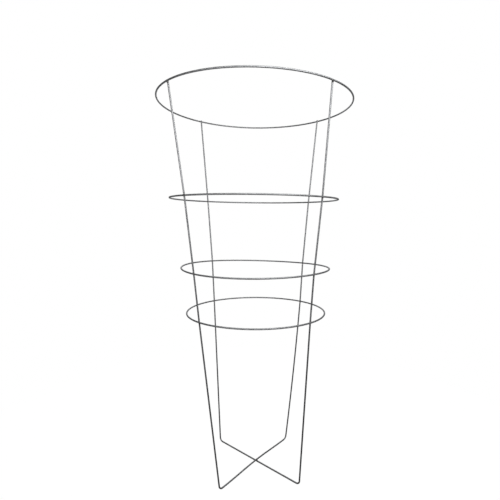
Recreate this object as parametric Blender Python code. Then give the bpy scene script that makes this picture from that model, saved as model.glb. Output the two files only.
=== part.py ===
"""Tomato cage: four wire rings welded round two U-shaped leg wires that cross at the base.

The cage stands on the ground at z = 0, with the middle of the top ring over the origin.
+X is to the right, +Y to the back, +Z up. All lengths are in metres and all angles in degrees.
Each leg wire goes up one leg, across the base as a rung and up the opposite leg. The legs pass
inside the rings. A bead of weld metal sits round each crossing of two wires.
"""

import math

import bmesh
import bpy
from mathutils import Matrix, Vector

WIRE_DIAMETER = 0.0035
WELD_GAP = 0.0003  # kept between two pieces that are welded together

TOP_RING_DIAMETER = 0.4235  # ring diameters are between centre lines of the wire
SECOND_RING_DIAMETER = 0.3724
THIRD_RING_DIAMETER = 0.3331
BOTTOM_RING_DIAMETER = 0.3137

TOP_RING_HEIGHT = 0.8322  # ring heights run from the ground to the ring's middle
SECOND_RING_HEIGHT = 0.6242
THIRD_RING_HEIGHT = 0.4695
BOTTOM_RING_HEIGHT = 0.3687

FRONT_LEFT_REACH = 0.1254  # each foot's distance from the place where the rungs cross
BACK_RIGHT_REACH = 0.1205
FRONT_RIGHT_REACH = 0.1212
BACK_LEFT_REACH = 0.1242
FOOT_BEND_RADIUS = 0.009  # centre line of the bend between a leg and its rung

LEG_END_ABOVE_RING = 0.0002  # how far a sheared leg end stands above the top ring
WELD_BEAD_WIDTH = 0.0012  # of the bead that each weld squeezes out round the crossing
WELD_BEAD_THICKNESS = 0.0017  # from the side of one wire towards the other
WELD_BEAD_SPREAD = 0.00015  # from the side of the wire out to the middle of the bead

# A hand-fed cage is never quite true. These are the small errors of this one.
TOP_RING_SHIFT = 0.0  # to the right
SECOND_RING_SHIFT = -0.0020
THIRD_RING_SHIFT = 0.0012
BOTTOM_RING_SHIFT = 0.0023
CROSSING_SHIFT = (0.0059, 0.0005)  # of the crossed rungs, to the right and to the back

TOP_RING_LEAN = (0.65, 1.11)  # back raised, right side lowered
SECOND_RING_LEAN = (0.30, 0.67)
THIRD_RING_LEAN = (-0.47, 0.47)
BOTTOM_RING_LEAN = (-1.05, -0.27)

TOP_RING_WARP = (0.0010, 12)  # a saddle: its height, and the heading of a high side
SECOND_RING_WARP = (0.0, 0)
THIRD_RING_WARP = (0.0018, -21)
BOTTOM_RING_WARP = (0.0, 0)

TOP_RING_OVAL = (0.0011, 51)  # added to the radius, and the heading of a long side
BACK_RIGHT_LEG_BOW = 0.0027  # outwards, at the middle of its lowest span

# Headings at the top, second, third and bottom rings, anticlockwise from +X.
FRONT_LEFT_HEADINGS = (219.4, 222.9, 220.7, 221.0)
FRONT_RIGHT_HEADINGS = (312.7, 316.5, 315.9, 316.4)
BACK_RIGHT_HEADINGS = (39.7, 39.6, 40.9, 40.9)
BACK_LEFT_HEADINGS = (132.7, 131.4, 133.2, 134.5)
UPPER_RUNG_HEADING = 50.4  # from the front left foot to the back right foot
LOWER_RUNG_HEADING = -40.5  # from the back left foot to the front right foot

WIRE_SIDES = 8
RING_SEGMENTS = 80
BEND_SEGMENTS = 8
HALF_RUNG_SEGMENTS = 8
BOW_SEGMENTS = 6
BEAD_SEGMENTS = 16
BEAD_SIDES = 8

WIRE_RADIUS = WIRE_DIAMETER / 2
WIRE_SPACING = WIRE_DIAMETER + WELD_GAP  # between centre lines where two wires are welded
HALF_SIDE = math.pi / WIRE_SIDES  # half the angle that one flat side takes of the wire
CAP_MERGE_DISTANCE = 1e-6
TANGENT_STEP = math.radians(1)

ZINC = (0.20, 0.203, 0.207, 1.0)
ZINC_ROUGHNESS = 0.45
WELD_GREY = (0.13, 0.127, 0.124, 1.0)
WELD_ROUGHNESS = 0.6


class Ring:
    """One closed wire ring: where it lies and how far from true it is."""

    def __init__(self, name, diameter, height, shift, lean, warp, oval=(0.0, 0)):
        self.name = name
        self.radius = diameter / 2
        self.warp, self.warp_heading = warp[0], math.radians(warp[1])
        self.oval, self.oval_heading = oval[0], math.radians(oval[1])
        raise_back = Matrix.Rotation(math.radians(lean[0]), 4, "X")
        lower_right = Matrix.Rotation(math.radians(lean[1]), 4, "Y")
        self.frame = Matrix.Translation((shift, 0, height)) @ lower_right @ raise_back

    def local_point(self, angle, inset=0.0):
        """The point at an angle on the centre line, or a distance inside it, in the ring's own frame."""
        reach = self.radius + self.oval * math.cos(2 * (angle - self.oval_heading)) - inset
        lift = self.warp * math.cos(2 * (angle - self.warp_heading))
        return Vector((reach * math.cos(angle), reach * math.sin(angle), lift))

    def path(self):
        """The whole centre line, in the ring's own frame."""
        return [self.local_point(math.tau * step / RING_SEGMENTS) for step in range(RING_SEGMENTS)]

    def welded_leg_point(self, heading):
        """Where the centre line of a leg passes inside the ring, in the cage's frame."""
        return self.frame @ self.local_point(math.radians(heading), WIRE_SPACING)

    def centre_line_point(self, heading):
        """The point of the ring's centre line beside that leg, in the cage's frame."""
        return self.frame @ self.local_point(math.radians(heading))

    def tangent(self, heading):
        """The way the ring's wire runs there, in the cage's frame."""
        angle = math.radians(heading)
        along = self.local_point(angle + TANGENT_STEP) - self.local_point(angle - TANGENT_STEP)
        return (self.frame.to_3x3() @ along).normalized()


def rung_crossing():
    """The centre line of the lower rung, where the upper rung crosses it."""
    return Vector((*CROSSING_SHIFT, WIRE_RADIUS))


def foot_corner(heading, reach):
    """Where the centre lines of a leg and its rung would meet on the ground without a bend."""
    angle = math.radians(heading)
    return rung_crossing() + reach * Vector((math.cos(angle), math.sin(angle), 0))


def bowed_span(start, end, bow):
    """The points between the two ends of a leg's lowest span, bowed outwards."""
    outwards = ((start + end) / 2 * Vector((1, 1, 0))).normalized()
    points = []
    for step in range(1, BOW_SEGMENTS):
        share = step / BOW_SEGMENTS
        points.append(start.lerp(end, share) + outwards * bow * 4 * share * (1 - share))
    return points


def bend(before, corner, after, radius):
    """The points of a round bend of the wire, in place of a sharp corner."""
    arriving = (corner - before).normalized()
    leaving = (after - corner).normalized()
    turn = arriving.angle(leaving)
    set_back = radius * math.tan(turn / 2)
    start = corner - arriving * set_back
    to_centre = (leaving - arriving * arriving.dot(leaving)).normalized()
    centre = start + to_centre * radius
    points = []
    for step in range(BEND_SEGMENTS + 1):
        angle = turn * step / BEND_SEGMENTS
        points.append(centre + radius * (arriving * math.sin(angle) - to_centre * math.cos(angle)))
    return points


def half_rung(foot_end, crossing, arch):
    """The points of a rung from beside a foot's bend up to its crossing, rising over what it crosses."""
    points = []
    for step in range(1, HALF_RUNG_SEGMENTS + 1):
        share = step / HALF_RUNG_SEGMENTS
        lift = arch * math.sin(math.pi / 2 * share) ** 2
        points.append(foot_end.lerp(crossing, share) + Vector((0, 0, lift)))
    return points


def leg_top(points):
    """The sheared end of a leg, just above the top ring."""
    upwards = (points[0] - points[1]).normalized()
    return points[0] + upwards * (WIRE_RADIUS + LEG_END_ABOVE_RING)


def leg_points(rings, headings, foot, bow):
    """One leg's centre line from its sheared end down to just above its foot's bend."""
    welded = [ring.welded_leg_point(heading) for ring, heading in zip(rings, headings)]
    lowest = bowed_span(welded[-1], foot, bow) if bow else []
    return [leg_top(welded)] + welded + lowest


def leg_direction(points, number):
    """The way a leg runs at one of its points: midway between the spans above and below it."""
    above = (points[number - 1] - points[number]).normalized()
    below = (points[number + 1] - points[number]).normalized()
    return above - below


def lengthened(path, extra):
    """The same path, with both its ends run on."""
    first = path[0] + (path[0] - path[1]).normalized() * extra
    last = path[-1] + (path[-1] - path[-2]).normalized() * extra
    return [first] + path[1:-1] + [last]


def leg_wire_path(rings, first, second, arch):
    """The centre line of a U-shaped wire: down the first leg, along the rung and up the second."""
    down = leg_points(rings, first["headings"], first["foot"], first["bow"])
    up = leg_points(rings, second["headings"], second["foot"], second["bow"])
    first_bend = bend(down[-1], first["foot"], second["foot"], FOOT_BEND_RADIUS)
    second_bend = bend(up[-1], second["foot"], first["foot"], FOOT_BEND_RADIUS)
    first_half = half_rung(first_bend[-1], rung_crossing(), arch)
    second_half = half_rung(second_bend[-1], rung_crossing(), arch)
    return down + first_bend + first_half + second_half[-2::-1] + second_bend[::-1] + up[::-1]


def make_material(name, colour, roughness):
    """A metal surface of one colour."""
    material = bpy.data.materials.new(name)
    material.use_nodes = True
    surface = material.node_tree.nodes["Principled BSDF"]
    surface.inputs["Base Color"].default_value = colour
    surface.inputs["Metallic"].default_value = 1.0
    surface.inputs["Roughness"].default_value = roughness
    return material


def wire_curve(name, path, closed, diameter):
    """A wire along a path, with flat sides that face up, down, in and out."""
    curve = bpy.data.curves.new(name, "CURVE")
    curve.dimensions = "3D"
    curve.twist_mode = "Z_UP"
    curve.bevel_depth = diameter / 2 / math.cos(HALF_SIDE)
    curve.bevel_resolution = (WIRE_SIDES - 4) // 2
    curve.use_fill_caps = True
    spline = curve.splines.new("POLY")
    spline.points.add(len(path) - 1)
    for point, place in zip(spline.points, path):
        point.co = (*place, 1)
        point.tilt = HALF_SIDE
    spline.use_cyclic_u = closed
    return bpy.data.objects.new(name, curve)


def make_wire(name, path, closed, frame=Matrix()):
    """A wire of the cage, and the wider copy of it that the beads are cut back with."""
    wire = wire_curve(name, path, closed, WIRE_DIAMETER)
    wire.matrix_world = frame
    wire.data.materials.append(make_material(name, ZINC, ZINC_ROUGHNESS))
    parts.objects.link(wire)
    wire.parent = cage

    wider_path = path if closed else lengthened(path, WELD_GAP)
    wider = wire_curve(name + "_clearance", wider_path, closed, WIRE_DIAMETER + 2 * WELD_GAP)
    wider.matrix_world = frame
    cutters.objects.link(wider)
    bpy.context.view_layer.update()
    depsgraph = bpy.context.evaluated_depsgraph_get()
    mesh = bpy.data.meshes.new_from_object(wider.evaluated_get(depsgraph))
    loose_caps = bmesh.new()
    loose_caps.from_mesh(mesh)
    bmesh.ops.remove_doubles(loose_caps, verts=loose_caps.verts, dist=CAP_MERGE_DISTANCE)
    loose_caps.to_mesh(mesh)
    loose_caps.free()
    cutter = bpy.data.objects.new(name + "_cutter", mesh)
    cutter.matrix_world = wider.matrix_world
    cutter.hide_render = True
    cutter.display_type = "WIRE"
    cutters.objects.link(cutter)
    bpy.data.objects.remove(wider)
    return cutter


def make_weld(name, first_point, first_along, second_point, second_along, welded_wires):
    """The bead round the crossing of two wires, cut back to a gap from each of them."""
    across = first_along.cross(second_along).normalized()
    middle = (first_point + second_point) / 2
    bpy.ops.mesh.primitive_torus_add(
        major_radius=WIRE_RADIUS + WELD_BEAD_SPREAD,
        minor_radius=WELD_BEAD_WIDTH / 2,
        major_segments=BEAD_SEGMENTS,
        minor_segments=BEAD_SIDES,
        location=middle,
        rotation=across.to_track_quat("Z", "Y").to_euler(),
    )
    bead = bpy.context.object
    bead.name = name
    bead.data.name = name
    bead.data.transform(Matrix.Diagonal((1, 1, WELD_BEAD_THICKNESS / WELD_BEAD_WIDTH, 1)))
    bead.data.materials.append(make_material(name, WELD_GREY, WELD_ROUGHNESS))
    for wire in welded_wires:
        cut = bead.modifiers.new(wire.name, "BOOLEAN")
        cut.operation = "DIFFERENCE"
        cut.solver = "EXACT"
        cut.object = wire
    for collection in bead.users_collection:
        collection.objects.unlink(bead)
    parts.objects.link(bead)
    bead.parent = cage


for old in list(bpy.data.objects):
    bpy.data.objects.remove(old)

parts = bpy.data.collections.new("tomato_cage")
cutters = bpy.data.collections.new("cutters")
bpy.context.scene.collection.children.link(parts)
bpy.context.scene.collection.children.link(cutters)
cage = bpy.data.objects.new("cage", None)
parts.objects.link(cage)

rings = [
    Ring(
        "top_ring", TOP_RING_DIAMETER, TOP_RING_HEIGHT, TOP_RING_SHIFT, TOP_RING_LEAN, TOP_RING_WARP,
        TOP_RING_OVAL,
    ),
    Ring(
        "second_ring", SECOND_RING_DIAMETER, SECOND_RING_HEIGHT, SECOND_RING_SHIFT, SECOND_RING_LEAN,
        SECOND_RING_WARP,
    ),
    Ring(
        "third_ring", THIRD_RING_DIAMETER, THIRD_RING_HEIGHT, THIRD_RING_SHIFT, THIRD_RING_LEAN,
        THIRD_RING_WARP,
    ),
    Ring(
        "bottom_ring", BOTTOM_RING_DIAMETER, BOTTOM_RING_HEIGHT, BOTTOM_RING_SHIFT, BOTTOM_RING_LEAN,
        BOTTOM_RING_WARP,
    ),
]

legs = {
    "front_left": {
        "headings": FRONT_LEFT_HEADINGS,
        "foot": foot_corner(UPPER_RUNG_HEADING + 180, FRONT_LEFT_REACH),
        "bow": 0.0,
    },
    "back_right": {
        "headings": BACK_RIGHT_HEADINGS,
        "foot": foot_corner(UPPER_RUNG_HEADING, BACK_RIGHT_REACH),
        "bow": BACK_RIGHT_LEG_BOW,
    },
    "back_left": {
        "headings": BACK_LEFT_HEADINGS,
        "foot": foot_corner(LOWER_RUNG_HEADING + 180, BACK_LEFT_REACH),
        "bow": 0.0,
    },
    "front_right": {
        "headings": FRONT_RIGHT_HEADINGS,
        "foot": foot_corner(LOWER_RUNG_HEADING, FRONT_RIGHT_REACH),
        "bow": 0.0,
    },
}

ring_cutters = {ring.name: make_wire(ring.name, ring.path(), True, ring.frame) for ring in rings}

upper_path = leg_wire_path(rings, legs["front_left"], legs["back_right"], WIRE_SPACING)
lower_path = leg_wire_path(rings, legs["back_left"], legs["front_right"], 0.0)
upper_cutter = make_wire("upper_leg_wire", upper_path, False)
lower_cutter = make_wire("lower_leg_wire", lower_path, False)
leg_cutters = {
    "front_left": upper_cutter,
    "back_right": upper_cutter,
    "back_left": lower_cutter,
    "front_right": lower_cutter,
}

for leg_name, leg in legs.items():
    points = leg_points(rings, leg["headings"], leg["foot"], leg["bow"]) + [leg["foot"]]
    for number, (ring, heading) in enumerate(zip(rings, leg["headings"]), start=1):
        make_weld(
            ring.name.replace("_ring", "_") + leg_name + "_weld",
            ring.centre_line_point(heading),
            ring.tangent(heading),
            points[number],
            leg_direction(points, number),
            (ring_cutters[ring.name], leg_cutters[leg_name]),
        )

make_weld(
    "rung_crossing_weld",
    rung_crossing(),
    legs["front_right"]["foot"] - legs["back_left"]["foot"],
    rung_crossing() + Vector((0, 0, WIRE_SPACING)),
    legs["back_right"]["foot"] - legs["front_left"]["foot"],
    (lower_cutter, upper_cutter),
)
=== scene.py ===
# %% [markdown]
# # A tomato cage of welded wire
#
# The real cage is six lengths of galvanised steel wire. Four of them are bent to rings. The other two
# are bent to a long U: each goes down one leg, across the base as a rung and up the opposite leg.
# Seventeen resistance welds hold them together, and nothing else does.
#
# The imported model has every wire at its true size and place, but with eight flat sides. Seen from a
# step away that is right. Seen close, a wire is round, its ends are sheared, its bends are a little
# squashed and its welds are lumpy. So this lesson reads the centre line of each wire from the packed
# model and draws the wires and welds again along the same lines.

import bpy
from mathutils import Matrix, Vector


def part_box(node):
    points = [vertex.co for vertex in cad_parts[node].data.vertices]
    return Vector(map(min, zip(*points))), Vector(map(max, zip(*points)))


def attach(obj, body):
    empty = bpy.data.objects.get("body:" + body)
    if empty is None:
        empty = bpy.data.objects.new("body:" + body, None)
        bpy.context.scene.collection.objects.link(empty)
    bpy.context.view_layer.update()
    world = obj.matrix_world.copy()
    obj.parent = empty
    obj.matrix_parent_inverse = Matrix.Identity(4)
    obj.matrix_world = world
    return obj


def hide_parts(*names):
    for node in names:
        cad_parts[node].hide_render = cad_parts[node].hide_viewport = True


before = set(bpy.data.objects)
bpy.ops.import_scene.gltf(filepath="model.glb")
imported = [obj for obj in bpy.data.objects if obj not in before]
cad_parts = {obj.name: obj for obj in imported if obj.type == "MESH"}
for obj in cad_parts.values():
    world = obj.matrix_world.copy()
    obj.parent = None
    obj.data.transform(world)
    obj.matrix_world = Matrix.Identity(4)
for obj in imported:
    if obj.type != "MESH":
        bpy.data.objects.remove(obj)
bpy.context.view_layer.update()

# %% [markdown]
# Blender's own modules come next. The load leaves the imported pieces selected, and an operator acts on
# everything that is selected, so the first thing to do is to let go of them all.

# %% Import Blender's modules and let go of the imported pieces
import math

import bmesh
import bpy
import numpy as np
from mathutils import Matrix, Vector

bpy.ops.object.select_all(action="DESELECT")
print("pieces in the packed model:", len(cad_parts))

# %% [markdown]
# ## The camera
#
# The camera stands where the photographer stood. That place can be worked out from the rings: the top
# two are seen from below and the lower two from above, so the lens is a little under the second ring,
# and how much flatter one ellipse is than the next gives the distance. The lens is wide and close,
# which is why the rings taper so strongly.

# %% Place the camera
CAMERA_PLACE = (0.0, -0.8373, 0.5777)
CAMERA_TILT_DOWN = math.radians(4.67)
CAMERA_TURN_LEFT = math.radians(0.70)
LENS_LENGTH = 26.45
SENSOR_WIDTH = 36.0

bpy.ops.object.camera_add(
    location=CAMERA_PLACE,
    rotation=(math.radians(90) - CAMERA_TILT_DOWN, 0, CAMERA_TURN_LEFT),
)
camera = bpy.context.object
camera.name = "camera"
camera.data.lens = LENS_LENGTH
camera.data.sensor_width = SENSOR_WIDTH
bpy.context.scene.camera = camera
print("the camera stands", -CAMERA_PLACE[1], "m in front of the cage and", CAMERA_PLACE[2], "m up")

# %% [markdown]
# ## Writing a material as sums
#
# A procedural material is mostly arithmetic: one pattern times a strength, plus another, held between
# two limits. Wiring that by hand takes a page of nodes. This class wraps a socket, so that an ordinary
# Python sum such as `0.2 + 0.1 * patches` adds the Math nodes itself.

# %% A wrapped socket, whose sums add nodes
class Socket:
    """A number or a vector on its way through a material."""

    def __init__(self, maker, socket):
        self.maker = maker
        self.socket = socket

    def __add__(self, other):
        return self.maker.math("ADD", self, other)

    def __radd__(self, other):
        return self.maker.math("ADD", other, self)

    def __sub__(self, other):
        return self.maker.math("SUBTRACT", self, other)

    def __rsub__(self, other):
        return self.maker.math("SUBTRACT", other, self)

    def __mul__(self, other):
        return self.maker.math("MULTIPLY", self, other)

    def __rmul__(self, other):
        return self.maker.math("MULTIPLY", other, self)

    def __truediv__(self, other):
        return self.maker.math("DIVIDE", self, other)

    def clamped(self):
        """The value held between 0 and 1."""
        clamped = self.maker.math("ADD", self, 0.0)
        clamped.socket.node.use_clamp = True
        return clamped


# %% [markdown]
# Every other kind of node comes from one method, which takes the node's type, its settings and the
# values or links of its sockets. Settings go first, because some of them change which sockets there are.

# %% A maker of nodes
class NodeMaker:
    """Adds nodes to one material or world."""

    def __init__(self, tree):
        self.tree = tree

    def node(self, kind, settings=None, **inputs):
        """Adds a node. Its settings go on first, then its sockets, named with _ for a space."""
        node = self.tree.nodes.new(kind)
        for name, value in (settings or {}).items():
            setattr(node, name, value)
        for name, value in inputs.items():
            self.feed(node.inputs[name.replace("_", " ")], value)
        return node

    def feed(self, socket, value):
        """Links a wrapped socket to an input, or sets its value."""
        if isinstance(value, Socket):
            self.tree.links.new(value.socket, socket)
        else:
            socket.default_value = value

    def out(self, node, name):
        """One output of a node, wrapped."""
        return Socket(self, node.outputs[name])

    def math(self, operation, first, second):
        """The result of one Math node."""
        node = self.node("ShaderNodeMath", {"operation": operation})
        self.feed(node.inputs[0], first)
        self.feed(node.inputs[1], second)
        return self.out(node, "Value")

    def blend(self, share, first, second):
        """A colour between two colours."""
        node = self.node("ShaderNodeMix", {"data_type": "RGBA"})
        self.feed(node.inputs["Factor"], share)
        self.feed(node.inputs["A"], first)
        self.feed(node.inputs["B"], second)
        return Socket(self, node.outputs["Result"])


# %% [markdown]
# ## The studio
#
# The picture is a shop photograph of a shiny thing on white. A white room would light the cage from all
# sides and wash it out, so the white here is only what the lens sees and what the wire mirrors. Light
# Path tells these kinds of ray apart, and a coordinate tells which way a ray goes.

# %% Helpers that tell rays and places apart
def kinds_of_ray(make):
    """Two masks: one for camera rays, and one for glossy and see-through rays."""
    path = make.node("ShaderNodeLightPath")
    mirrored = make.math("MAXIMUM", make.out(path, "Is Glossy Ray"), make.out(path, "Is Transmission Ray"))
    return make.out(path, "Is Camera Ray"), mirrored


def along_axis(make, space, axis):
    """One coordinate of the place or the direction that is being shaded."""
    everywhere = make.out(make.node("ShaderNodeTexCoord"), space)
    return make.out(make.node("ShaderNodeSeparateXYZ", Vector=everywhere), axis)


# %% [markdown]
# The sky is a plain grey light to the cage and a white background to the camera. Glossy rays see the
# white too where they look past the cage. Those that look back to the photographer find a dim room,
# which keeps the near side of each wire dark, as it is in the photograph.

# %% Paint the sky
SKY_LIGHT = 0.8
REFLECTION_BELOW = 0.02
REFLECTION_ABOVE = 0.1
BEHIND_STARTS = 0.25
BEHIND_FULL = 0.7
BACKGROUND_WHITE = 1.0
LEAST_SEEN = 0.001

sky = bpy.data.worlds.new("sky")
sky.use_nodes = True
sky.node_tree.nodes.clear()
make = NodeMaker(sky.node_tree)
to_camera, mirrored = kinds_of_ray(make)
behind = ((along_axis(make, "Generated", "Y") - BEHIND_STARTS) / (BEHIND_FULL - BEHIND_STARTS)).clamped()
above = (0.5 + along_axis(make, "Generated", "Z")).clamped()
in_front = REFLECTION_BELOW + (REFLECTION_ABOVE - REFLECTION_BELOW) * above
reflection = in_front + (BACKGROUND_WHITE - in_front) * behind
seen = make.math("MAXIMUM", to_camera, mirrored * reflection)
unseen = (1.0 - seen / LEAST_SEEN).clamped()
background = make.node("ShaderNodeBackground", Color=(1, 1, 1, 1), Strength=seen + SKY_LIGHT * unseen)
make.node("ShaderNodeOutputWorld", Surface=make.out(background, "Background"))
bpy.context.scene.world = sky
bpy.context.scene.view_settings.view_transform = "Standard"
print("sky:", len(sky.node_tree.nodes), "nodes, lighting at", SKY_LIGHT, "and seen at", BACKGROUND_WHITE)

# %% [markdown]
# The floor is a round sheet of white paper, made the same way: it glows white for the camera, and for
# reflections behind the cage. A little ordinary paint is mixed into what the camera sees, and the paint
# is in the shade under the rungs, which leaves the faint shadow there.

# %% Lay the floor
FLOOR_RADIUS = 0.8
FLOOR_CORNERS = 96
FLOOR_SHADOW_SHARE = 0.12
PAINT = 0.05
GLOW = 1.13
FLOOR_BEHIND_STARTS = 0.05
FLOOR_BEHIND_FULL = 0.5

bpy.ops.mesh.primitive_circle_add(
    vertices=FLOOR_CORNERS,
    radius=FLOOR_RADIUS,
    fill_type="NGON",
    location=(0, 0, 0),
)
floor = bpy.context.object
floor.name = "floor"

paper = bpy.data.materials.new("white_paper")
paper.use_nodes = True
paper.node_tree.nodes.clear()
make = NodeMaker(paper.node_tree)
to_camera, mirrored = kinds_of_ray(make)
past_start = along_axis(make, "Object", "Y") - FLOOR_BEHIND_STARTS
behind = (past_start / (FLOOR_BEHIND_FULL - FLOOR_BEHIND_STARTS)).clamped()
glowing = make.math("MAXIMUM", to_camera * (1 - FLOOR_SHADOW_SHARE), mirrored * behind)
glow = make.node("ShaderNodeEmission", Color=(1, 1, 1, 1), Strength=GLOW)
paint = make.node("ShaderNodeBsdfDiffuse", Color=(PAINT, PAINT, PAINT, 1))
lit = make.node("ShaderNodeMixShader", Fac=glowing)
make.feed(lit.inputs[1], make.out(paint, "BSDF"))
make.feed(lit.inputs[2], make.out(glow, "Emission"))
make.node("ShaderNodeOutputMaterial", Surface=make.out(lit, "Shader"))
floor.data.materials.append(paper)
print("floor:", [round(side, 2) for side in floor.dimensions[:2]], "m")

# %% [markdown]
# Four softboxes light the cage: a broad one near the camera, a harder one high at the right, a small
# low one at the left, and one behind that lights the far wires. A softbox is an area lamp. The broader
# it is for its distance, the softer the streak that it draws along a wire. The camera doesn't see them.

# %% Hang the softboxes
SOFTBOX_PLACES = {
    "front_softbox": (0.12, -0.6, 0.92),
    "side_softbox": (0.6, -0.4, 1.1),
    "low_softbox": (-0.5, -0.5, 0.5),
    "back_softbox": (-0.15, 0.75, 0.95),
}
SOFTBOX_AIMS = {
    "front_softbox": (0, 0, 0.6),
    "side_softbox": (0, 0, 0.7),
    "low_softbox": (-0.1, -0.1, 0.8),
    "back_softbox": (0, 0, 0.6),
}
SOFTBOX_SIZES = {"front_softbox": 0.7, "side_softbox": 0.4, "low_softbox": 0.3, "back_softbox": 0.6}
SOFTBOX_WATTS = {"front_softbox": 12.0, "side_softbox": 6.0, "low_softbox": 2.0, "back_softbox": 5.0}

for name, place in SOFTBOX_PLACES.items():
    bpy.ops.object.light_add(type="AREA", location=place)
    softbox = bpy.context.object
    softbox.name = name
    softbox.data.size = SOFTBOX_SIZES[name]
    softbox.data.energy = SOFTBOX_WATTS[name]
    softbox.visible_camera = False
    towards = Vector(SOFTBOX_AIMS[name]) - Vector(place)
    softbox.rotation_euler = towards.to_track_quat("-Z", "Y").to_euler()
    print(name, "hangs", round(towards.length, 2), "m from what it is aimed at")

# %% [markdown]
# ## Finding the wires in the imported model
#
# A packed wire is a tube of flat triangles whose corners aren't joined. Merging a copy of it gives
# one connected mesh, made of sections of eight corners each, and the middle of each section is a point
# of the wire's centre line. On a ring the sections are put in order by their heading.

# %% Measure the centre line of each ring
CAD_SIDES = 8
TOUCHING = 1e-6
RING_NAMES = ("top_ring", "second_ring", "third_ring", "bottom_ring")


def joined_copy(name):
    """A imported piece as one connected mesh."""
    joined = bmesh.new()
    joined.from_mesh(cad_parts[name].data)
    bmesh.ops.remove_doubles(joined, verts=joined.verts, dist=TOUCHING)
    joined.verts.index_update()
    joined.normal_update()
    return joined


def ring_points(name):
    """The middles of a ring's sections, anticlockwise from the right."""
    joined = joined_copy(name)
    corners = np.array([corner.co for corner in joined.verts])
    joined.free()
    sections = len(corners) // CAD_SIDES
    from_middle = corners - corners.mean(axis=0)
    headings = np.arctan2(from_middle[:, 1], from_middle[:, 0])
    order = np.argsort((headings + math.pi / sections) % math.tau, kind="stable")
    return corners[order].reshape(sections, CAD_SIDES, 3).mean(axis=1)


wire_points = {name: ring_points(name) for name in RING_NAMES}
for name, points in wire_points.items():
    print(name, "has", len(points), "sections, the first at", points[0].round(4))

# %% [markdown]
# A leg wire turns back on itself, so headings don't sort it. There the mesh is walked from one sheared
# end, one section at a time. Where the flat sides of a straight rung have run together the walk stops,
# and the rest is walked from the other end.

# %% Measure the centre line of each leg wire
END_FACE_UP = 0.9
END_FACE_DEPTH = 0.01
LEG_WIRE_NAMES = ("upper_leg_wire", "lower_leg_wire")


def walked_points(joined, side):
    """The middles of a leg wire's sections from its end at the left, -1, or the right, 1."""
    top = max(corner.co.z for corner in joined.verts)
    section = set()
    for face in joined.faces:
        middle = face.calc_center_median()
        at_top = face.normal.z > END_FACE_UP and middle.z > top - END_FACE_DEPTH
        if at_top and middle.x * side > 0:
            section.update(face.verts)
    points = []
    walked = set()
    while len(section) == CAD_SIDES:
        walked |= section
        corners = sorted(section, key=lambda corner: corner.index)
        points.append(np.mean([corner.co for corner in corners], axis=0))
        section = {edge.other_vert(corner) for corner in corners for edge in corner.link_edges} - walked
    return points


def leg_wire_points(name):
    """The middles of a leg wire's sections, from its end at the left to its end at the right."""
    joined = joined_copy(name)
    points = walked_points(joined, -1)
    if len(points) * CAD_SIDES < len(joined.verts):
        points += walked_points(joined, 1)[::-1]
    joined.free()
    return np.array(points)


for name in LEG_WIRE_NAMES:
    wire_points[name] = leg_wire_points(name)
    print(name, "has", len(wire_points[name]), "sections, the first at", wire_points[name][0].round(4))

# %% [markdown]
# A box round each weld is all that is needed to find it: its middle is the middle of the weld. The
# rings have one more mark each. A ring is a straight wire rolled round and closed end to end, and the
# little ridge of that butt joint is usually left just past a leg.

# %% Find the welds, and choose where each ring was closed
weld_middles = {
    name: np.mean(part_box(name), axis=0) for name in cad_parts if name.endswith("_weld")
}
RING_JOINT_HEADINGS = {"top_ring": 141, "second_ring": 139, "third_ring": 143, "bottom_ring": 146}
for name, heading in RING_JOINT_HEADINGS.items():
    first = round(heading / 360 * len(wire_points[name]))
    wire_points[name] = np.roll(wire_points[name], -first, axis=0)
print("welds:", len(weld_middles))

# %% [markdown]
# ## From points to a smooth line
#
# Wire doesn't turn in corners, and a smooth curve through the measured points will take the corners
# away. But a curve also sways where it has few points to go by. The legs and rungs have long straight
# spans, so these first get a few more points beside each of their ends, like pins in a board.

# %% Pin the long spans of the leg wires
LONG_SPAN = 0.010
PIN_DISTANCES = (0.0015, 0.004, 0.016)
FURTHEST_PIN = 0.4


def with_pins(points):
    """The same points, with a few more that keep the long spans straight."""
    pinned = [points[0]]
    for start, end in zip(points[:-1], points[1:]):
        span = np.linalg.norm(end - start)
        if span > LONG_SPAN:
            along = (end - start) / span
            distances = [distance for distance in PIN_DISTANCES if distance < FURTHEST_PIN * span]
            pinned += [start + along * distance for distance in distances]
            pinned += [end - along * distance for distance in reversed(distances)]
        pinned.append(end)
    return np.array(pinned)


for name in LEG_WIRE_NAMES:
    wire_points[name] = with_pins(wire_points[name])
    print(name, "has", len(wire_points[name]), "points with its pins")

# %% [markdown]
# The curve is cubic, and its slope at a point is an average of the two spans beside it in which the
# shorter span counts for more. It is sampled every quarter of a millimetre here. Sections come later.

# %% Draw a smooth line through the points of each wire
SAMPLE_SPACING = 0.00025


def smooth_line(points, closed):
    """Places a quarter of a millimetre apart on a smooth curve through the points."""
    if closed:
        points = np.vstack([points[-1:], points, points[:2]])
    chords = np.diff(points, axis=0)
    spans = np.linalg.norm(chords, axis=1, keepdims=True)
    slopes = chords / spans
    tangents = (slopes[:-1] * spans[1:] + slopes[1:] * spans[:-1]) / (spans[:-1] + spans[1:])
    if closed:
        points, spans = points[1:-1], spans[1:-1]
    else:
        tangents = np.vstack([slopes[:1], tangents, slopes[-1:]])
    line = []
    for number, span in enumerate(spans[:, 0]):
        share = np.linspace(0, 1, max(2, round(span / SAMPLE_SPACING)), endpoint=False)[:, None]
        start, end = points[number], points[number + 1]
        line.append(
            (1 + 2 * share) * (1 - share) ** 2 * start
            + share * (1 - share) ** 2 * span * tangents[number]
            + share**2 * (3 - 2 * share) * end
            - share**2 * (1 - share) * span * tangents[number + 1]
        )
    line.append(points[-1:])
    return np.vstack(line)


wire_lines = {name: smooth_line(points, name in RING_NAMES) for name, points in wire_points.items()}
for name, line in wire_lines.items():
    print(name, "has a smooth line through", len(line), "places")

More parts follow.
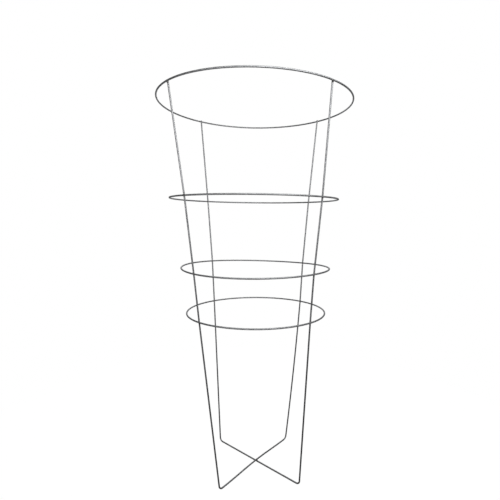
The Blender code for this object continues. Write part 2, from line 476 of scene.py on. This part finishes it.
# %% [markdown]
# A tube needs many sections where something happens and few where nothing does. So each place on the
# line gets a wished spacing: small beside a weld, a joint or a sheared end, smaller than a few degrees
# of turn in a bend, and wide on a straight span. Adding up one over that spacing along the line
# numbers the sections, and reading the line at the whole numbers gives their places.

# %% Spread the sections along each line
FINE_STEP = 0.0008
STEP_GROWTH = 0.25
COARSE_STEP = 0.0045
MOST_TURN = math.radians(5.5)
LEAST_TURNING = 1e-3
WELD_REACH = 0.0025


def lengths_along(line):
    """The distance along a line from its start to each of its places."""
    return np.concatenate([[0], np.cumsum(np.linalg.norm(np.diff(line, axis=0), axis=1))])


def spread_sections(line):
    """The places of a wire's sections, first to last."""
    along = lengths_along(line)
    marks = [0.0, along[-1]]
    for middle in weld_middles.values():
        distances = np.linalg.norm(line - middle, axis=1)
        if distances.min() < WELD_REACH:
            marks.append(along[distances.argmin()])
    to_mark = np.abs(along[:, None] - np.array(marks)).min(axis=1)
    directions = np.gradient(line, along, axis=0)
    turning = np.linalg.norm(np.gradient(directions, along, axis=0), axis=1)
    for_bend = MOST_TURN / np.maximum(turning, LEAST_TURNING)
    wished = np.minimum(FINE_STEP + STEP_GROWTH * to_mark, for_bend)
    wished = np.clip(wished, FINE_STEP / 2, COARSE_STEP)
    numbers = np.concatenate([[0], np.cumsum(np.diff(along) / wished[1:])])
    wanted = np.linspace(0, numbers[-1], math.ceil(numbers[-1]) + 1)
    return np.stack([np.interp(wanted, numbers, line[:, axis]) for axis in range(3)], axis=1)


wire_sections = {name: spread_sections(line) for name, line in wire_lines.items()}
for name, sections in wire_sections.items():
    print(name, round(lengths_along(sections)[-1], 3), "m of wire in", len(sections), "sections")

# %% [markdown]
# ## Drawing a wire
#
# Blender draws a round wire well when it is given a curve with a bevel. The curve comes from a plain
# circle: as many corners as the wire has sections, each moved to its place, and for a leg wire one edge
# taken out to open it.

# %% A helper that turns a circle into a chain
def circle_through(sections, closed):
    """A chain of edges through the sections, opened between the last and the first if it isn't closed."""
    count = len(sections)
    bpy.ops.mesh.primitive_circle_add(vertices=count, location=(0, 0, 0))
    chain = bpy.context.object
    places = np.roll(sections[::-1], 1, axis=0) if closed else sections[::-1]
    chain.data.vertices.foreach_set("co", places.ravel())
    if not closed:
        bpy.ops.object.mode_set(mode="EDIT")
        bpy.ops.mesh.select_mode(type="EDGE")
        bpy.ops.mesh.select_all(action="DESELECT")
        bpy.ops.object.mode_set(mode="OBJECT")
        for edge in chain.data.edges:
            edge.select = set(edge.vertices) == {0, count - 1}
        bpy.ops.object.mode_set(mode="EDIT")
        bpy.ops.mesh.delete(type="EDGE")
        bpy.ops.object.mode_set(mode="OBJECT")


# %% [markdown]
# Converted to a curve, the chain gets its thickness from the bevel, and converted back it is a mesh
# whose corners come section by section. That order is worth keeping for the marks further on. Blender
# may number a curve from its other end, so it is turned round where the first place isn't the first
# section. On a ring the radius grows a little beside the first section, as the ridge of its butt joint.
# A ring's line ends where it started, so its last section is left out.

# %% Turn each line of sections into a round wire
WIRE_RADIUS = 0.00175
WIRE_SIDES = 20
RIDGE_HEIGHT = 0.09
RIDGE_REACH = 0.0007


def round_wire(name, sections, closed):
    """A mesh of round wire through the sections, with the ridge of its joint if it is a ring."""
    circle_through(sections, closed)
    bpy.ops.object.convert(target="CURVE")
    wire = bpy.context.object
    wire.name = name + "_drawn"
    wire.data.dimensions = "3D"
    wire.data.twist_mode = "Z_UP" if closed else "MINIMUM"
    wire.data.bevel_depth = WIRE_RADIUS
    wire.data.bevel_resolution = (WIRE_SIDES - 4) // 2
    first_place = Vector(wire.data.splines[0].points[0].co[:3])
    if (first_place - Vector(sections[0])).length > WIRE_RADIUS:
        bpy.ops.object.mode_set(mode="EDIT")
        bpy.ops.curve.select_all(action="SELECT")
        bpy.ops.curve.switch_direction()
        bpy.ops.object.mode_set(mode="OBJECT")
    if closed:
        along = lengths_along(np.vstack([sections, sections[:1]]))
        to_joint = np.minimum(along[:-1], along[-1] - along[:-1])
        for point, distance in zip(wire.data.splines[0].points, to_joint):
            point.radius = 1 + RIDGE_HEIGHT * math.exp(-((distance / RIDGE_REACH) ** 2))
    bpy.ops.object.convert(target="MESH")
    return bpy.context.object


drawn_wires = {}
for name in RING_NAMES:
    wire_sections[name] = wire_sections[name][:-1]
for name, sections in wire_sections.items():
    wire = round_wire(name, sections, name in RING_NAMES)
    tube = np.array([corner.co for corner in wire.data.vertices]).reshape(-1, WIRE_SIDES, 3)
    off_line = np.abs(tube.mean(axis=1) - sections).max()
    drawn_wires[name] = wire
    print(name, "has", len(wire.data.polygons), "faces and is", round(off_line * 1e6, 1), "micrometres off")

# %% [markdown]
# ## What happened to the wire
#
# A welder presses two copper tips on a crossing, one from each side, and the current melts the steel
# where the wires touch. The tips leave a small flat on the outer face of each wire: a shallow dip
# along the wire, and level across it.

# %% A helper that presses the welder's flats
FLAT_DEPTH = 0.00016
FLAT_REACH = 0.0034


def way_at(sections, number):
    """The way a wire runs at one of its sections."""
    way = sections[(number + 1) % len(sections)] - sections[number - 1]
    return way / np.linalg.norm(way)


def press_flats(tube, sections):
    """Presses each weld's flat into the face of the wire that is turned away from the weld."""
    for middle in weld_middles.values():
        nearest = np.linalg.norm(sections - middle, axis=1).argmin()
        outwards = sections[nearest] - middle
        if np.linalg.norm(outwards) > WELD_REACH:
            continue
        way = way_at(sections, nearest)
        outwards -= way * (outwards @ way)
        outwards /= np.linalg.norm(outwards)
        from_middle = np.abs((sections - middle) @ way)[:, None]
        beside = np.linalg.norm(sections - middle, axis=1)[:, None] < 2 * FLAT_REACH
        allowed = WIRE_RADIUS - FLAT_DEPTH * (1 - (from_middle / FLAT_REACH) ** 2)
        height = (tube - sections[:, None]) @ outwards
        pressed = beside & (from_middle < FLAT_REACH)
        too_high = np.where(pressed, np.maximum(height - allowed, 0), 0)
        tube -= too_high[:, :, None] * outwards


# %% [markdown]
# In a foot the wire was bent cold round a pin, which leaves it a little thinner across the bend and a
# little wider beside it. Only a bend with a radius under `SLACK_BEND` is squashed, and one with half
# that radius or less is squashed fully.

# %% Press the flats and squash the bends
SLACK_BEND = 0.020
BEND_THINNER = 0.05
BEND_WIDER = 0.03
LEAST_MOVE = 1e-6


def squash_bends(tube, sections):
    """Makes the wire thinner towards the inside of its tight bends, and wider beside them."""
    along = lengths_along(sections)
    directions = np.gradient(sections, along, axis=0)
    inwards = np.gradient(directions, along, axis=0)
    turning = np.linalg.norm(inwards, axis=1)
    bent = np.clip(turning * SLACK_BEND - 1, 0, 1)[:, None]
    inwards /= np.maximum(turning, LEAST_TURNING)[:, None]
    across = np.cross(directions, inwards)
    offsets = tube - sections[:, None]
    towards = np.einsum("sck,sk->sc", offsets, inwards)
    beside = np.einsum("sck,sk->sc", offsets, across)
    tube -= (BEND_THINNER * bent * towards)[:, :, None] * inwards[:, None]
    tube += (BEND_WIDER * bent * beside)[:, :, None] * across[:, None]


for name, wire in drawn_wires.items():
    sections = wire_sections[name]
    tube = np.array([corner.co for corner in wire.data.vertices]).reshape(-1, WIRE_SIDES, 3)
    before = tube.copy()
    press_flats(tube, sections)
    if name in LEG_WIRE_NAMES:
        squash_bends(tube, sections)
    wire.data.vertices.foreach_set("co", tube.ravel())
    moved = np.linalg.norm(tube - before, axis=2)
    changed = int((moved > LEAST_MOVE).sum())
    print(name, "moved", changed, "corners by up to", round(moved.max() * 1000, 2), "mm")

# %% [markdown]
# The finish needs to know two things at every corner: where it is along and round the wire, as if the
# wire had been pulled straight again, and how far it is from the nearest weld. The butt joint of a ring
# counts as a weld here. Both are kept as attributes of the mesh, in metres, for the materials to read.

# %% Note the place on the straightened wire and the distance to the nearest weld
def write_attribute(mesh, name, kind, field, values):
    """Keeps one value or vector for every corner of a mesh."""
    attribute = mesh.attributes.new(name, kind, "POINT")
    attribute.data.foreach_set(field, np.ascontiguousarray(values, dtype=np.float32).ravel())


for name, wire in drawn_wires.items():
    sections = wire_sections[name]
    along = lengths_along(sections)
    turns = np.arange(WIRE_SIDES) * math.tau / WIRE_SIDES
    round_wire_places = WIRE_RADIUS * np.stack([np.cos(turns), np.sin(turns)], axis=1)
    straightened = np.empty((len(sections), WIRE_SIDES, 3))
    straightened[:, :, :2] = round_wire_places
    straightened[:, :, 2] = along[:, None]
    tube = np.array([corner.co for corner in wire.data.vertices])
    marks = list(weld_middles.values())
    if name in RING_NAMES:
        marks.append(sections[0])
    to_weld = np.min([np.linalg.norm(tube - mark, axis=1) for mark in marks], axis=0)
    write_attribute(wire.data, "straightened", "FLOAT_VECTOR", "vector", straightened)
    write_attribute(wire.data, "to_weld", "FLOAT", "value", to_weld)
    print(name, "nearest a weld:", round(to_weld.min() * 1000, 2), "mm")

# %% [markdown]
# ## Sheared ends
#
# Each leg wire was cut to length by a shear, which leaves a nearly flat face, tilted a little, with an
# edge that is just rounded. The open end of the tube is moved in a hair, turned a few degrees, filled
# and bevelled.

# %% Close the ends of the leg wires
SHEAR_TILT = math.radians(5)
SHEAR_EDGE = 0.00022
SHEAR_SINK = 0.00016


def select_corners(wire, numbers):
    """Selects a few corners of a mesh, and enters edit mode."""
    bpy.ops.object.select_all(action="DESELECT")
    bpy.context.view_layer.objects.active = wire
    wire.select_set(True)
    bpy.ops.object.mode_set(mode="EDIT")
    bpy.ops.mesh.select_mode(type="VERT")
    bpy.ops.mesh.select_all(action="DESELECT")
    bpy.ops.object.mode_set(mode="OBJECT")
    for number in numbers:
        wire.data.vertices[number].select = True
    bpy.ops.object.mode_set(mode="EDIT")


def shear_end(wire, numbers, middle):
    """Tilts the open end at the given corners, fills it, and rounds its edge."""
    select_corners(wire, numbers)
    bpy.ops.transform.translate(value=(0, 0, -SHEAR_SINK))
    bpy.ops.transform.rotate(value=SHEAR_TILT, orient_axis="X", center_override=middle)
    bpy.ops.mesh.edge_face_add()
    bpy.ops.mesh.bevel(offset=SHEAR_EDGE, segments=2, affect="EDGES")
    bpy.ops.object.mode_set(mode="OBJECT")


for name in LEG_WIRE_NAMES:
    wire, sections = drawn_wires[name], wire_sections[name]
    corners = len(wire.data.vertices)
    shear_end(wire, range(corners - WIRE_SIDES, corners), sections[-1])
    shear_end(wire, range(WIRE_SIDES), sections[0])
    print(name, "now has", len(wire.data.polygons), "faces")

# %% [markdown]
# ## The welds
#
# Where two wires were melted together a little steel was squeezed out between them, and it froze as a
# lumpy pad in the four corners of the crossing. One pad is modelled: a ball, pressed flat, with its
# surface pushed in and out by a cloudy texture. It is the pattern that all seventeen are copied from.

# %% Model one weld
WELD_RADIUS = 0.0024
WELD_HALF_THICKNESS = 0.0008
WELD_SUBDIVISIONS = 4
LUMP_HEIGHT = 0.00028
LUMP_SIZE = 0.0013
LUMP_LEVEL = 0.6

bpy.ops.object.select_all(action="DESELECT")
bpy.ops.mesh.primitive_ico_sphere_add(
    subdivisions=WELD_SUBDIVISIONS,
    radius=WELD_RADIUS,
    location=(0, 0, 0),
)
weld_pattern = bpy.context.object
weld_pattern.name = "weld_pattern"
bpy.ops.object.mode_set(mode="EDIT")
bpy.ops.mesh.select_all(action="SELECT")
bpy.ops.transform.resize(value=(1, 1, WELD_HALF_THICKNESS / WELD_RADIUS))
bpy.ops.object.mode_set(mode="OBJECT")
lumps = bpy.data.textures.new("weld_lumps", "CLOUDS")
lumps.noise_scale = LUMP_SIZE
lumps.noise_depth = 1
push = weld_pattern.modifiers.new("lumps", "DISPLACE")
push.texture = lumps
push.strength = LUMP_HEIGHT
push.mid_level = LUMP_LEVEL
bpy.ops.object.modifier_apply(modifier="lumps")
bpy.ops.object.shade_smooth()
weld_sides = [round(side * 1000, 2) for side in weld_pattern.dimensions]
print("one weld:", len(weld_pattern.data.polygons), "faces,", weld_sides, "mm")

# %% [markdown]
# A weld lies flat between its two wires. So each copy gets a frame of three directions, read from the
# wires beside it: one along the first wire, one through both wires and square to them, and one square
# to these two. Each copy is then spun, flipped, both or neither, so that the same lumps don't show at
# every crossing.

# %% Set a weld at each crossing
drawn_welds = {}


def welded_ways(middle):
    """The way that each of the two wires runs where a weld joins them."""
    ways = []
    for sections in wire_sections.values():
        distances = np.linalg.norm(sections - middle, axis=1)
        if distances.min() < WELD_REACH:
            ways.append(way_at(sections, distances.argmin()))
    return ways


for number, (name, middle) in enumerate(weld_middles.items()):
    first_way, second_way = welded_ways(middle)
    through = np.cross(first_way, second_way)
    through /= np.linalg.norm(through)
    beside = np.cross(through, first_way)
    spun = Matrix.Rotation(math.pi * (number % 2), 3, "Z")
    flipped = Matrix.Rotation(math.pi * (number // 2 % 2), 3, "X")
    axes = Matrix((first_way, beside, through)).transposed() @ (spun @ flipped)
    weld = weld_pattern.copy()
    weld.data = weld_pattern.data.copy()
    weld.name = name + "_pad"
    bpy.context.collection.objects.link(weld)
    weld.data.transform(Matrix.Translation(middle) @ axes.to_4x4())
    drawn_welds[name] = weld
bpy.data.objects.remove(weld_pattern)
print("welds set:", len(drawn_welds))

# %% [markdown]
# ## The finishes
#
# The wire was galvanised before it was bent: a thin coat of zinc that has gone dull grey. Near by it
# shows soft cloudy patches, the long fine lines of the die that it was drawn through, a faint grain of
# zinc crystals, and now and then a pimple of dross. Beside a weld the zinc burnt off, which leaves the
# metal darker and rougher. All these patterns are drawn on the straightened wire, so they run along it
# through every bend.

# %% Helpers for patterns and relief
def pattern(make, kind, place, size, settings=None, output="Fac", **inputs):
    """A pattern whose marks are as many metres across the wire and along it as size says."""
    across, along = size
    stretched = make.node("ShaderNodeMapping", Vector=place, Scale=(1 / across, 1 / across, 1 / along))
    drawn = make.node(kind, settings, Vector=make.out(stretched, "Vector"), Scale=1.0, **inputs)
    return make.out(drawn, output)


def between(make, value, limits):
    """Where a value lies between two limits, from 0 to 1 with soft ends."""
    soft = {"interpolation_type": "SMOOTHSTEP"}
    ramp = make.node("ShaderNodeMapRange", soft, Value=value, From_Min=limits[0], From_Max=limits[1])
    return make.out(ramp, "Result")


def bumped(make, height, depth):
    """A surface direction pushed in and out by a height of so many metres."""
    return make.out(make.node("ShaderNodeBump", Height=height, Distance=depth), "Normal")


# %% [markdown]
# All of the cage is metal, so every finish ends in the same metal surface, and only its colour, its
# roughness and its relief differ. The edge tint is grey, because dull metal doesn't turn bright where
# it is seen at a glancing angle, as polished metal does.

# %% Helpers for metals
EDGE_TINT = (0.5, 0.5, 0.5, 1)


def metal_surface(make, colour, roughness, normal):
    """A metal whose colour, roughness and relief vary, with its output."""
    surface = make.node(
        "ShaderNodeBsdfPrincipled",
        Metallic=1.0,
        Specular_Tint=EDGE_TINT,
        Base_Color=colour,
        Roughness=roughness,
        Normal=normal,
    )
    make.node("ShaderNodeOutputMaterial", Surface=make.out(surface, "BSDF"))


def empty_material(name):
    """A material with no nodes yet, and the maker of its nodes."""
    material = bpy.data.materials.new(name)
    material.use_nodes = True
    material.node_tree.nodes.clear()
    return material, NodeMaker(material.node_tree)


# %% [markdown]
# Four patterns and the distance to a weld make the zinc. A pattern's size is given across the wire and
# along it, in metres. The patches and lines are noise, drawn out along the wire. The crystals are the
# cells of a Voronoi pattern, a random grey for each, and the pimples stand at the middles of wider cells.

# %% Draw the patterns of the zinc
PATCH_SIZE = (0.006, 0.022)
DRAW_LINE_SIZE = (0.00035, 0.012)
CRYSTAL_SIZE = (0.0011, 0.0026)
CRYSTAL_BLUR = 0.7
PIMPLE_SPACING = (0.0055, 0.0075)
PIMPLE_EDGE = (0.02, 0.09)
BURNT_EDGE = (0.0022, 0.0052)

zinc, make = empty_material("galvanised_zinc")
place = make.out(make.node("ShaderNodeAttribute", {"attribute_name": "straightened"}), "Vector")
to_weld = make.out(make.node("ShaderNodeAttribute", {"attribute_name": "to_weld"}), "Fac")
patches = pattern(make, "ShaderNodeTexNoise", place, PATCH_SIZE, Detail=3.0)
lines = pattern(make, "ShaderNodeTexNoise", place, DRAW_LINE_SIZE, Detail=2.0)
cells = {"feature": "SMOOTH_F1"}
greys = pattern(make, "ShaderNodeTexVoronoi", place, CRYSTAL_SIZE, cells, "Color", Smoothness=CRYSTAL_BLUR)
crystals = make.out(make.node("ShaderNodeSeparateColor", Color=greys), "Red")
to_pimple = pattern(make, "ShaderNodeTexVoronoi", place, PIMPLE_SPACING, output="Distance")
pimples = 1 - between(make, to_pimple, PIMPLE_EDGE)
burnt = 1 - between(make, to_weld, BURNT_EDGE)
print("patterns of the zinc:", len(zinc.node_tree.nodes), "nodes")

# %% [markdown]
# The zinc's lightness, roughness and relief are sums of the same few patterns, so that a light patch is
# also a little rougher, and a draw line is both a dark streak and a groove. A noise keeps near its
# middle, a half, so that is taken off before it is added.

# %% Galvanised wire
ZINC_DARK = (0.095, 0.097, 0.100, 1)
ZINC_LIGHT = (0.225, 0.228, 0.233, 1)
ZINC_BURNT = (0.115, 0.107, 0.102, 1)
PATCH_SHADE = 0.6
DRAW_LINE_SHADE = 1.3
CRYSTAL_SHADE = 0.5
BURNT_SHADE = 0.35
ZINC_ROUGH = 0.6
PATCH_ROUGH = 0.2
CRYSTAL_ROUGH = 0.16
BURNT_ROUGH = 0.12
ZINC_RELIEF = 0.00003
DRAW_LINE_HEIGHT = 0.5
CRYSTAL_HEIGHT = 0.25
PIMPLE_HEIGHT = 2.0

lightness = 0.5 + PATCH_SHADE * (patches - 0.5) + DRAW_LINE_SHADE * (lines - 0.5)
lightness = (lightness + CRYSTAL_SHADE * (crystals - 0.5)).clamped()
clean = make.blend(lightness, ZINC_DARK, ZINC_LIGHT)
colour = make.blend(BURNT_SHADE * burnt, clean, ZINC_BURNT)
roughness = ZINC_ROUGH + PATCH_ROUGH * (patches - 0.5) + CRYSTAL_ROUGH * (crystals - 0.5)
height = DRAW_LINE_HEIGHT * lines + CRYSTAL_HEIGHT * crystals + PIMPLE_HEIGHT * pimples
metal_surface(make, colour, roughness + BURNT_ROUGH * burnt, bumped(make, height, ZINC_RELIEF))
print("galvanised zinc:", len(zinc.node_tree.nodes), "nodes")

# %% [markdown]
# The weld pads are bare burnt steel: dark, rough and pitted, with a brown and blue tint where the heat
# was let into the surface. The sheared ends are bare steel too, but clean: light, with the fine
# parallel scratches that the shear blade dragged across them.

# %% Weld metal
WELD_BROWN = (0.105, 0.097, 0.09, 1)
WELD_BLUE = (0.145, 0.148, 0.16, 1)
STAIN_SIZE = (0.0011, 0.0011)
STAIN_EDGE = (0.35, 0.65)
PIT_SIZE = (0.00028, 0.00028)
WELD_ROUGH = 0.55
STAIN_ROUGH = 0.1
PIT_ROUGH = 0.25
WELD_RELIEF = 0.00006

burnt_steel, make = empty_material("weld_metal")
place = make.out(make.node("ShaderNodeTexCoord"), "Object")
stains = pattern(make, "ShaderNodeTexNoise", place, STAIN_SIZE, Detail=3.0)
pits = pattern(make, "ShaderNodeTexNoise", place, PIT_SIZE, Detail=2.0)
tint = make.blend(between(make, stains, STAIN_EDGE), WELD_BROWN, WELD_BLUE)
roughness = WELD_ROUGH + PIT_ROUGH * (pits - 0.5) + STAIN_ROUGH * stains
metal_surface(make, tint, roughness, bumped(make, pits, WELD_RELIEF))
print("weld metal:", len(burnt_steel.node_tree.nodes), "nodes")

# %% Sheared steel
BARE_DARK = (0.17, 0.16, 0.15, 1)
BARE_LIGHT = (0.27, 0.265, 0.26, 1)
BARE_ROUGH = 0.4
SCRATCH_ROUGH = 0.2
BARE_RELIEF = 0.00003
SCRATCHES_PER_METRE = (9000, 700, 700)
SCRATCH_HEADING = (0, 0, 0.4)

sheared_steel, make = empty_material("sheared_steel")
place = make.out(make.node("ShaderNodeTexCoord"), "Object")
dragged = make.node("ShaderNodeMapping", Vector=place, Scale=SCRATCHES_PER_METRE, Rotation=SCRATCH_HEADING)
noise = make.node("ShaderNodeTexNoise", Vector=make.out(dragged, "Vector"), Scale=1.0, Detail=2.0)
scratched = make.out(noise, "Fac")
bare = make.blend(scratched, BARE_DARK, BARE_LIGHT)
roughness = BARE_ROUGH + SCRATCH_ROUGH * (scratched - 0.5)
metal_surface(make, bare, roughness, bumped(make, scratched, BARE_RELIEF))
print("sheared steel:", len(sheared_steel.node_tree.nodes), "nodes")

# %% [markdown]
# Every drawn wire and weld now gets its finish, rides on the cage, and takes the place of the packed
# node that it was drawn from.

# %% Finish the wires and welds
SHARP_EDGE = math.radians(50)
WALL_CORNERS = 4

for name, wire in drawn_wires.items():
    wire.data.materials.clear()
    wire.data.materials.append(zinc)
    wire.data.materials.append(sheared_steel)
    for face in wire.data.polygons:
        face.material_index = 1 if len(face.vertices) > WALL_CORNERS else 0
    bpy.ops.object.select_all(action="DESELECT")
    wire.select_set(True)
    bpy.context.view_layer.objects.active = wire
    bpy.ops.object.shade_smooth_by_angle(angle=SHARP_EDGE)
    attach(wire, "root")
    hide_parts(name)

for name, weld in drawn_welds.items():
    weld.data.materials.append(burnt_steel)
    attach(weld, "root")
    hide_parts(name)
print("finished:", len(drawn_wires), "wires and", len(drawn_welds), "welds")
